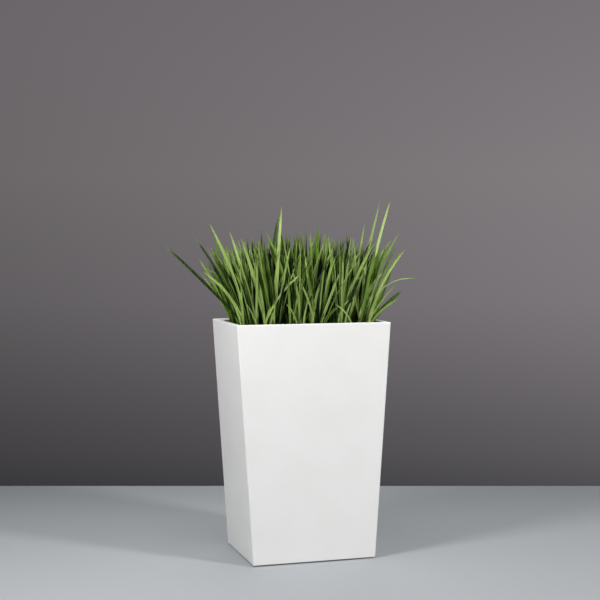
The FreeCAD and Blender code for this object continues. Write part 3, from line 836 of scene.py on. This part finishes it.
# Blades that stand out in the picture: pixel of the tip, a pixel that the blade's middle passes, how
# far across the picture it leaves the soil, how far behind the planter's middle the tip and the root
# stand (m), its width (m) and its tone (0 dark, 1 bright), which is partly the blade's own colour and
# partly painted light and shade. The widths were read a little too broad, and LEADING_WIDTH takes
# them down.
LEADING_BLADES = {
    "far_left": ((164.5, 245.5), (204, 282.5), 251, 0.095, 0.000, 0.0090, 0.10),
    "edge_low_left": ((207, 262), (223, 296), 236, 0.030, 0.040, 0.0080, 0.35),
    "edge_left": ((214, 250), (226, 294), 233, 0.085, 0.080, 0.0090, 0.15),
    "edge_back_left": ((221, 258), (228, 298), 231, 0.098, 0.094, 0.0090, 0.25),
    "edge_upright": ((216, 272), (228, 304), 234, 0.060, 0.060, 0.0080, 0.60),
    "left_dark": ((194.5, 237.5), (213, 265), 243, 0.060, 0.000, 0.0080, 0.10),
    "left_tall": ((209.5, 223.5), (224, 254), 252, -0.020, -0.060, 0.0090, 0.70),
    "left_grey": ((217, 236), (219, 264), 240, 0.080, 0.040, 0.0105, 0.30),
    "left_short": ((203, 272), (222, 288), 248, -0.060, -0.085, 0.0085, 0.75),
    "left_low": ((206, 268), (216, 275), 240, 0.020, 0.000, 0.0070, 0.45),
    "left_bright": ((229.5, 231), (243, 274), 260, -0.080, -0.095, 0.0088, 0.85),
    "broad_bright": ((241, 238), (254, 277), 267, -0.085, -0.092, 0.0100, 0.80),
    "upright_left": ((240, 265), (241, 290), 243, -0.095, -0.098, 0.0055, 0.70),
    "dark_left": ((247, 237), (250, 262), 257, 0.000, -0.020, 0.0075, 0.10),
    "grey_left": ((261.5, 227), (262, 250), 266, 0.040, 0.020, 0.0080, 0.20),
    "tallest_middle": ((281.7, 207), (279, 246), 274, -0.050, -0.080, 0.0095, 0.95),
    "behind_tallest": ((279, 214), (274, 244), 273, 0.010, -0.010, 0.0120, 0.15),
    "broad_upright": ((279, 250), (276.5, 276), 273, -0.090, -0.095, 0.0110, 0.80),
    "leaning_right": ((266, 231.5), (280, 264), 296, -0.075, -0.085, 0.0085, 0.60),
    "crossing": ((302, 273), (282, 293), 262, -0.105, -0.095, 0.0060, 0.90),
    "short_pale": ((286, 304), (292, 311), 299, -0.108, -0.098, 0.0055, 0.75),
    "slender_bright": ((292.5, 269), (297.5, 292), 301, -0.100, -0.098, 0.0075, 0.85),
    "front_bright": ((304, 247), (309, 281), 315, -0.095, -0.096, 0.0090, 1.00),
    "front_thin": ((297.5, 278), (306, 294), 315, -0.100, -0.097, 0.0055, 0.85),
    "broad_grey": ((319, 224.5), (317, 255), 311, 0.000, -0.030, 0.0115, 0.40),
    "curving_right": ((322, 248), (317, 268), 310, -0.080, -0.090, 0.0080, 0.80),
    "yellow_green": ((334, 245), (325, 270), 316, -0.070, -0.080, 0.0095, 0.70),
    "pale_line": ((336, 256), (328.5, 279), 321, -0.085, -0.092, 0.0062, 0.95),
    "sweeping": ((341, 269), (331.5, 293), 317, -0.100, -0.098, 0.0085, 0.95),
    "upright_right": ((343, 258), (342.4, 290), 341, -0.095, -0.096, 0.0072, 0.95),
    "bent_small": ((335, 304.5), (344, 311), 355, -0.112, -0.100, 0.0045, 1.00),
    "low_leaf": ((338, 307), (330, 313), 322, -0.110, -0.100, 0.0110, 0.35),
    "dark_right": ((337, 237), (336, 252), 334, 0.000, -0.030, 0.0070, 0.10),
    "dark_far_right": ((347, 233.5), (347, 250), 346, 0.020, 0.000, 0.0070, 0.10),
    "slim_pair_left": ((364.5, 224), (359, 258), 351, -0.010, -0.050, 0.0070, 0.65),
    "tall_pair_left": ((379.8, 200.5), (367.5, 250), 345, -0.040, -0.085, 0.0105, 0.90),
    "tall_pair_right": ((390.5, 200), (378, 244), 358, 0.010, -0.050, 0.0085, 0.90),
    "right_reaching": ((399.5, 232), (382, 264), 361, 0.030, -0.020, 0.0080, 0.65),
    "right_inner": ((392, 240), (377, 262), 360, -0.010, -0.050, 0.0080, 0.60),
    "right_broad": ((401.5, 251.5), (385, 277), 364, 0.000, -0.040, 0.0100, 0.50),
    "right_sweep": ((387, 269), (366.5, 296), 359, -0.080, -0.092, 0.0100, 0.80),
    "right_horizontal": ((416, 278.5), (393, 281.6), 366, -0.070, -0.080, 0.0038, 0.95),
    "right_low": ((402.5, 290.5), (384, 307), 366, -0.020, -0.060, 0.0125, 0.20),
    "right_low_pale": ((398, 299), (381, 311), 366, -0.050, -0.075, 0.0080, 0.70),
    "right_corner": ((382, 293), (374, 310), 368, -0.040, -0.060, 0.0110, 0.40),
    "right_back_corner": ((392, 268), (381, 298), 371, 0.060, 0.050, 0.0090, 0.30),
    "right_stub": ((379.5, 294), (373, 309), 367, -0.085, -0.094, 0.0082, 0.85),
    "right_line": ((360, 268), (352, 284), 342, -0.080, -0.088, 0.0055, 0.85),
    "left_slanting": ((226.5, 261), (235, 280), 244, -0.070, -0.085, 0.0075, 0.80),
    "left_thin": ((226.5, 293), (235, 307), 243, -0.098, -0.100, 0.0048, 0.80),
    "thin_over_rim": ((244, 300.5), (251, 311), 259, -0.105, -0.100, 0.0048, 0.90),
    "middle_left": ((259.5, 284), (262, 299), 265, -0.098, -0.098, 0.0070, 0.80),
    "dull_broad": ((263, 268), (266.5, 291), 271, -0.085, -0.090, 0.0110, 0.35),
    "short_bright": ((271, 306), (268, 314), 264, -0.108, -0.102, 0.0060, 0.90),
    "short_beside": ((274, 311), (272, 317), 269, -0.108, -0.102, 0.0060, 0.80),
    "upright_middle": ((288.5, 276), (289, 298), 291, -0.100, -0.098, 0.0075, 0.55),
    "leaning_left": ((305, 278), (298, 296), 293, -0.098, -0.096, 0.0055, 0.65),
    "behind_front": ((312.5, 255), (312, 276), 309, -0.070, -0.080, 0.0070, 0.60),
    "short_wide": ((320, 282), (316, 297), 312, -0.098, -0.098, 0.0085, 0.75),
    "thin_middle": ((308, 300), (305, 312), 303, -0.108, -0.102, 0.0055, 0.85),
    "grey_right": ((339.5, 244), (340, 260), 337, -0.040, -0.060, 0.0095, 0.50),
    "pale_right": ((354, 256), (350, 276), 345, -0.060, -0.080, 0.0060, 0.75),
    "yellow_right": ((360, 276.5), (353, 290), 347, -0.085, -0.090, 0.0090, 0.75),
    "streak_right": ((355.5, 297), (348, 301), 339, -0.100, -0.098, 0.0060, 0.70),
    "short_right": ((351.5, 302), (348, 310), 345, -0.108, -0.102, 0.0060, 0.80),
    "broad_corner": ((376, 285), (370.5, 300), 366, -0.070, -0.085, 0.0110, 0.45),
    "grey_corner": ((383.5, 263), (375, 277), 363, -0.030, -0.060, 0.0100, 0.45),
}

leading = list(LEADING_BLADES.values())
tip_pixel, pass_pixel = (np.array([blade[i] for blade in leading]) for i in (0, 1))
root_pixel, tip_depth, root_depth, lead_width, lead_tone = (
    np.array([blade[i] for blade in leading], dtype=float) for i in (2, 3, 4, 5, 6)
)
# Their tips lean forward a little, clear of the blades around them, and each one passes its
# second pixel halfway in depth between root and tip.
tip_depth -= LEADING_FORWARD
lead_tip = seen_at(tip_pixel, tip_depth)
lead_middle = seen_at(pass_pixel, tip_depth * 0.5 + root_depth * 0.5)
lead_root = seen_at(np.stack([root_pixel, np.full(len(leading), ROOT_ROW)], axis=1), root_depth)
lead_root[:, 2] = soil_top - BURIED
# The curve passes the middle point at that point's share t of the way along, which gives the
# bend as (middle - (1-t)^2 root - t^2 tip) / 2t(1-t).
to_middle = np.linalg.norm(lead_middle - lead_root, axis=1, keepdims=True)
to_tip = np.linalg.norm(lead_tip - lead_middle, axis=1, keepdims=True)
t = to_middle / (to_middle + to_tip)
lead_bend = (lead_middle - (1 - t) ** 2 * lead_root - t**2 * lead_tip) / (2 * t * (1 - t))

GRASS_SEED = 23
# For each row of tufts from front to back: fewer in front, where most leading blades stand.
BLADES_PER_TUFT = (20, 42, 52, 50)
BLADE_WIDTH = (0.0040, 0.0086)
# For each column of tufts from left to right, and then for each tuft: how well its blades grow.
COLUMN_GROWTH = (0.87, 0.97, 1.0, 1.0, 1.0, 0.93)
TUFT_GROWTH = (0.92, 1.04)
SHORT_SHARE = 0.28
SHORT_LENGTH = (0.08, 0.17)
FULL_LENGTH = 0.17
LENGTH_RANGE = 0.1
USUAL_LENGTH = 0.23
START_SCATTER = 0.7
FACING_SCATTER = 0.8
# A blade of the usual length spreads this far about its root, and leans out this far along X
# and along Y at the edge of the planting, times a draw from the range.
SPREAD = 0.064
LEAN = (0.062, 0.045)
LEAN_RANGE = (0.2, 1.35)
REACH_SHARE = 0.6
FILL_REACH = 0.115
CURVE_SHORTENING = 0.985
BEND_HEIGHT = (0.5, 0.62)
BEND_REACH = (0.2, 0.48)

# The blades between the leading ones. Each heads any way out of its crown, reaches further the
# longer it is, and leans out more the nearer its tuft stands to the edge of the planting.
chance = np.random.default_rng(GRASS_SEED)
fill_count = np.array(BLADES_PER_TUFT)[tuft_row]
fill = fill_count.sum()
fill_tuft = np.repeat(np.arange(len(tuft_place)), fill_count)
heading = chance.uniform(0, 2 * math.pi, fill)
outward = tuft_place[fill_tuft] / tuft_place.max(axis=0)
from_middle = CROWN * np.sqrt(chance.uniform(0, 1, fill))
start_turn = heading + chance.normal(0, START_SCATTER, fill)
start = np.stack([np.cos(start_turn), np.sin(start_turn)], axis=1) * from_middle[:, None]
tuft_growth = chance.uniform(*TUFT_GROWTH, len(tuft_place)) * np.array(COLUMN_GROWTH)[tuft_column]
short = chance.uniform(0, 1, fill) < SHORT_SHARE
full_length = FULL_LENGTH + LENGTH_RANGE * chance.beta(2.1, 1.15, fill)
short_length = chance.uniform(*SHORT_LENGTH, fill)
length = np.where(short, short_length, full_length * tuft_growth[fill_tuft])
spread = np.abs(chance.normal(0, SPREAD, fill)) * length / USUAL_LENGTH
lean = outward * np.abs(outward) * LEAN * chance.uniform(*LEAN_RANGE, (fill, 1))
lean *= length[:, None] / USUAL_LENGTH
reach = np.stack([np.cos(heading), np.sin(heading)], axis=1) * spread[:, None] + lean
# A tanh curve holds each reach under the furthest one allowed. A blade's height is what its
# length leaves after its reach, less a little for its curve.
reach_length = np.linalg.norm(reach, axis=1)
furthest = np.minimum(length * REACH_SHARE, FILL_REACH)
reach *= (np.tanh(reach_length / furthest) * furthest / reach_length)[:, None]
rise = np.sqrt(length**2 - (reach**2).sum(axis=1)) * CURVE_SHORTENING
bend_rise = rise * chance.uniform(*BEND_HEIGHT, fill)
bend_reach = reach * chance.uniform(*BEND_REACH, (fill, 1))
fill_root = np.column_stack([tuft_place[fill_tuft] + start, np.full(fill, soil_top - BURIED)])
fill_tip = fill_root + np.column_stack([reach, rise])
fill_bend = fill_root + np.column_stack([bend_reach, bend_rise])
fill_width = chance.uniform(*BLADE_WIDTH, fill)
# Many low tones, so that many blades take the painted shade at the dark end of the grass colours.
fill_tone = chance.beta(0.6, 1.0, fill)
fill_facing = heading + chance.normal(0, FACING_SCATTER, fill)

# Each leading blade belongs to the tuft nearest its root and faces the camera, more or less.
lead_tuft = np.linalg.norm(lead_root[:, None, :2] - tuft_place[None], axis=2).argmin(axis=1)
lead_turn = chance.uniform(-LEADING_SCATTER, LEADING_SCATTER, len(leading))
lead_facing = lead_turn - math.pi / 2 - YAW
blade_tuft = np.concatenate([fill_tuft, lead_tuft])
blade_root = np.concatenate([fill_root, lead_root])
blade_bend = np.concatenate([fill_bend, lead_bend])
blade_tip = np.concatenate([fill_tip, lead_tip])
blade_width = np.concatenate([fill_width, lead_width * LEADING_WIDTH])
blade_tone = np.concatenate([fill_tone, lead_tone])
blade_facing = np.concatenate([fill_facing, lead_facing])
blade_twist = chance.normal(0, TWIST_SCATTER, len(blade_root))
reach_limit = np.array(list(cad_box[1])) - BOX_MARGIN


def blade_points(root, bend, tip, width, facing, twist):
    """Rings of four points along each blade, as points[blade, station, ring point].

    The middle line at share t is (1-t)^2 root + 2t(1-t) bend + t^2 tip. The blade's face looks
    along a direction just above level that turns by the twist from root to tip. Both edges lie
    half a width to the sides and stand forward by the fold, so the section is a shallow V.
    """
    t = STATIONS[None, :, None]
    line = (1 - t) ** 2 * root[:, None] + 2 * t * (1 - t) * bend[:, None] + t**2 * tip[:, None]
    line = np.clip(line, -reach_limit, reach_limit)
    along = unit((1 - t) * (bend - root)[:, None] + t * (tip - bend)[:, None])
    turn = facing[:, None] + twist[:, None] * STATIONS
    looks = np.stack([np.cos(turn), np.sin(turn), np.full(turn.shape, FACE_LIFT)], axis=-1)
    side = unit(np.cross(along, looks))
    face = np.cross(side, along)
    half = (width[:, None] * FULLNESS)[:, :, None] / 2
    fold = half * 2 * FOLD
    skin_half = np.minimum(THICKNESS / 2, half * TIP_THINNING)
    left = line - side * half + face * fold
    right = line + side * half + face * fold
    return np.stack([left, line + face * skin_half, right, line - face * skin_half], axis=2)


points = blade_points(blade_root, blade_bend, blade_tip, blade_width, blade_facing, blade_twist)
one_blade = skin(points[0])
# The ring's places across the blade: left edge, ridge, right edge and underside.
RING_ACROSS = (-1, 0, 1, 0)
stations, ring = len(STATIONS), len(RING_ACROSS)
root_line = eased_line(
    [
        (ROOT_MIDDLE, soil_top - ROOT_DEPTH),
        (ROOT_PLUG_FOOT, soil_top - ROOT_DEPTH),
        (ROOT_PLUG, soil_top - BURIED),
        (CROWN, soil_top + CROWN_EDGE),
        (ROOT_MIDDLE, soil_top + CROWN_TOP),
    ],
    ROOT_ROUNDING,
    steps=3,
    margin=0.0003,
)
root_points = round_rings(root_line[:, 0], root_line[:, 1], FULL_TURN[::4])
root_faces = skin(root_points)
tufts = []
for number, place in enumerate(tuft_place):
    own = points[blade_tuft == number]
    count = len(own)
    blade_size = stations * ring
    blade_faces = repeated(one_blade, range(0, count * blade_size, blade_size))
    plug_faces = repeated(root_faces, [count * blade_size])
    plug_ring = (root_points + (*place, 0)).reshape(-1, 3)
    vertices = np.concatenate([own.reshape(-1, 3), plug_ring])
    name = f"grass_tuft_{number + 1:02d}"
    faces = blade_faces + plug_faces
    tuft = add_piece(name + "_blades", vertices, faces, "planting", sharp=12)
    own_share = np.tile(np.repeat(STATIONS, ring), count)
    own_across = np.tile(RING_ACROSS, count * stations)
    own_tone = np.repeat(blade_tone[blade_tuft == number], blade_size)
    blank = np.zeros(len(plug_ring))
    give(tuft, "share", np.concatenate([own_share, blank]))
    give(tuft, "across", np.concatenate([own_across, blank]))
    give(tuft, "tone", np.concatenate([own_tone, blank]))
    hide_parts(name)
    tufts.append(tuft)

# The darkest grass colour is painted shade, for the dark gaps deep among the blades.
GRASS_DEEP_SHADE = shade(10, 30, 0)
GRASS_MID = shade(105, 138, 47)
GRASS_BRIGHT = shade(168, 192, 112)
# Painted shade: blades darken to the root colour towards their bases, over the share of their length
# given by the root share, and the root plugs take the same colour.
GRASS_ROOT_SHADE = shade(44, 70, 10)
GRASS_TIP = shade(108, 122, 66)
ROOT_SHADE_SHARE = 0.3
TIP_FROM = 0.86
RIB_WIDTH = 0.22
GRASS_ROUGHNESS = 0.4

grass = Finish("grass_green")
tone = grass.stored("tone")
share = grass.stored("share")
across = grass.stored("across")
rib = 1 - grass.fade(grass.math("ABSOLUTE", across, 0), 0.0, RIB_WIDTH)
streak = grass.noise(120, 3, grass.stretched((3, 3, 0.15)))
level_tone = tone * 0.85 + streak * 0.3
# A blade's tone places it on a ramp that runs from painted shade at the dark end, through mid green,
# to bright green.
ramp = grass.node(
    "ShaderNodeValToRGB",
    {"stops": ((0.2, GRASS_DEEP_SHADE), (0.54, GRASS_MID), (1.0, GRASS_BRIGHT))},
    {"Fac": level_tone},
)
# Painted shade at the blades' bases.
root_shaded = grass.mix(grass.fade(share, 0.0, ROOT_SHADE_SHARE), GRASS_ROOT_SHADE, ramp)
tipped = grass.mix(grass.fade(share, TIP_FROM, 1.0) * 0.8, root_shaded, GRASS_TIP)
grass.cover(
    *tufts,
    Base_Color=grass.mix(rib * tone * 0.35, tipped, GRASS_BRIGHT),
    Roughness=streak * 0.15 + GRASS_ROUGHNESS,
    Specular_IOR_Level=0.22,
    Normal=grass.relief(streak, 0.0002),
)

# ---- floor and light ----
# A pale floor that ends behind the planter and darkens towards that back edge in painted shade, a
# grey backdrop graded with painted light and shade, and four soft lamps: a bright one to the right of
# the front, one to the left, and weak ones above and behind.

FLOOR_BACK = 0.89
FLOOR_REACH = 3.4
FLOOR_FADE_FROM = 0.35
FLOOR_ROUGHNESS = 0.7
floor_corners = np.array([(-1, -1), (1, -1), (1, 1), (-1, 1)]) * FLOOR_REACH
floor_corners[2:, 1] = FLOOR_BACK
floor_turned = np.stack(
    [
        floor_corners[:, 0] * math.cos(YAW) + floor_corners[:, 1] * math.sin(YAW),
        floor_corners[:, 1] * math.cos(YAW) - floor_corners[:, 0] * math.sin(YAW),
        np.zeros(4),
    ],
    axis=1,
)
floor_mesh = bpy.data.meshes.new("floor")
floor_mesh.from_pydata(floor_turned.tolist(), [], [(0, 1, 2, 3)])
floor = bpy.data.objects.new("floor", floor_mesh)
bpy.context.scene.collection.objects.link(floor)
# Painted shade: the floor's colour darkens from FLOOR_FADE_FROM behind the middle to its back edge.
FLOOR_PALE = shade(170, 173, 176)
FLOOR_SHADE_AT_BACK = shade(160, 163, 166)
pale = Finish("pale_floor")
back = pale.node("ShaderNodeSeparateXYZ", {}, {0: pale.stretched((1, 1, 1), (0, 0, YAW))}, "Y")
pale.cover(
    floor,
    Base_Color=pale.mix(pale.fade(back, FLOOR_FADE_FROM, FLOOR_BACK), FLOOR_PALE, FLOOR_SHADE_AT_BACK),
    Roughness=FLOOR_ROUGHNESS,
)

# The camera sees the backdrop, and all else is lit by an even pale surround. The backdrop's grades
# are painted light and shade: it is brightest just above the grass and darkens down to the floor, and
# a little towards the top. It is brighter to the right, and more so low down.
SURROUND = shade(200, 202, 206)
SURROUND_STRENGTH = 0.22
RIGHT_GAIN = 1.5
BACKDROP_LOW = -0.19
BACKDROP_HIGH = 0.19
BACKDROP = (
    (0.00, shade(67, 66, 69)),
    (0.07, shade(80, 78, 81)),
    (0.12, shade(86, 83, 86)),
    (0.36, shade(111, 107, 110)),
    (0.60, shade(119, 115, 117)),
    (1.00, shade(112, 107, 111)),
)
studio = Finish("studio", bpy.data.worlds.new("studio"))
bpy.context.scene.world = studio.material
climb = studio.node("ShaderNodeSeparateXYZ", {}, {0: studio.place}, "Z")
climb_range = {"Value": climb, "From Min": BACKDROP_LOW, "From Max": BACKDROP_HIGH}
climb_share = studio.node("ShaderNodeMapRange", {}, climb_range)
backdrop = studio.node("ShaderNodeValToRGB", {"stops": BACKDROP}, {"Fac": climb_share})
to_right = {0: studio.place, 1: (math.cos(YAW), -math.sin(YAW), 0)}
sideways = studio.node("ShaderNodeVectorMath", {"operation": "DOT_PRODUCT"}, to_right, "Value")
brightness = sideways * (RIGHT_GAIN - climb_share) + 1
shown = studio.node("ShaderNodeBackground", {}, {"Color": backdrop, "Strength": brightness})
studio.cover(Color=SURROUND, Strength=SURROUND_STRENGTH)
seen = studio.node("ShaderNodeLightPath", {}, {}, "Is Camera Ray")
lit = Signal(studio, studio.shader.outputs[0])
choice = studio.node("ShaderNodeMixShader", {}, {0: seen, 1: lit, 2: shown})
studio.feed(studio.tree.nodes["World Output"].inputs["Surface"], choice)

# Each lamp's place, the point it shines at, its width in metres and its power in watts.
LAMPS = {
    "lamp_right": ((1.9, -2.3, 1.9), (0, 0, 0.45), 0.45, 66),
    "lamp_left": ((-1.3, -0.7, 1.55), (0, 0, 0.6), 0.45, 26),
    "lamp_above": ((-0.1, -0.3, 2.6), (0, 0, 0.6), 0.9, 10),
    "lamp_behind": ((0.9, 2.4, 1.9), (0, 0, 0.5), 1.6, 12),
}


def soft_lamp(name, place, target, width, power):
    """A square lamp that shines from a place towards a target."""
    data = bpy.data.lights.new(name, "AREA")
    data.shape = "SQUARE"
    data.size = width
    data.energy = power
    lamp = bpy.data.objects.new(name, data)
    lamp.location = place
    aim = unit(np.array(target) - np.array(place))
    lamp.rotation_euler = (math.acos(-aim[2]), 0, math.atan2(aim[1], aim[0]) - math.pi / 2)
    bpy.context.scene.collection.objects.link(lamp)


for lamp_name, lamp_values in LAMPS.items():
    soft_lamp(lamp_name, *lamp_values)

bpy.context.scene.view_settings.view_transform = "Standard"
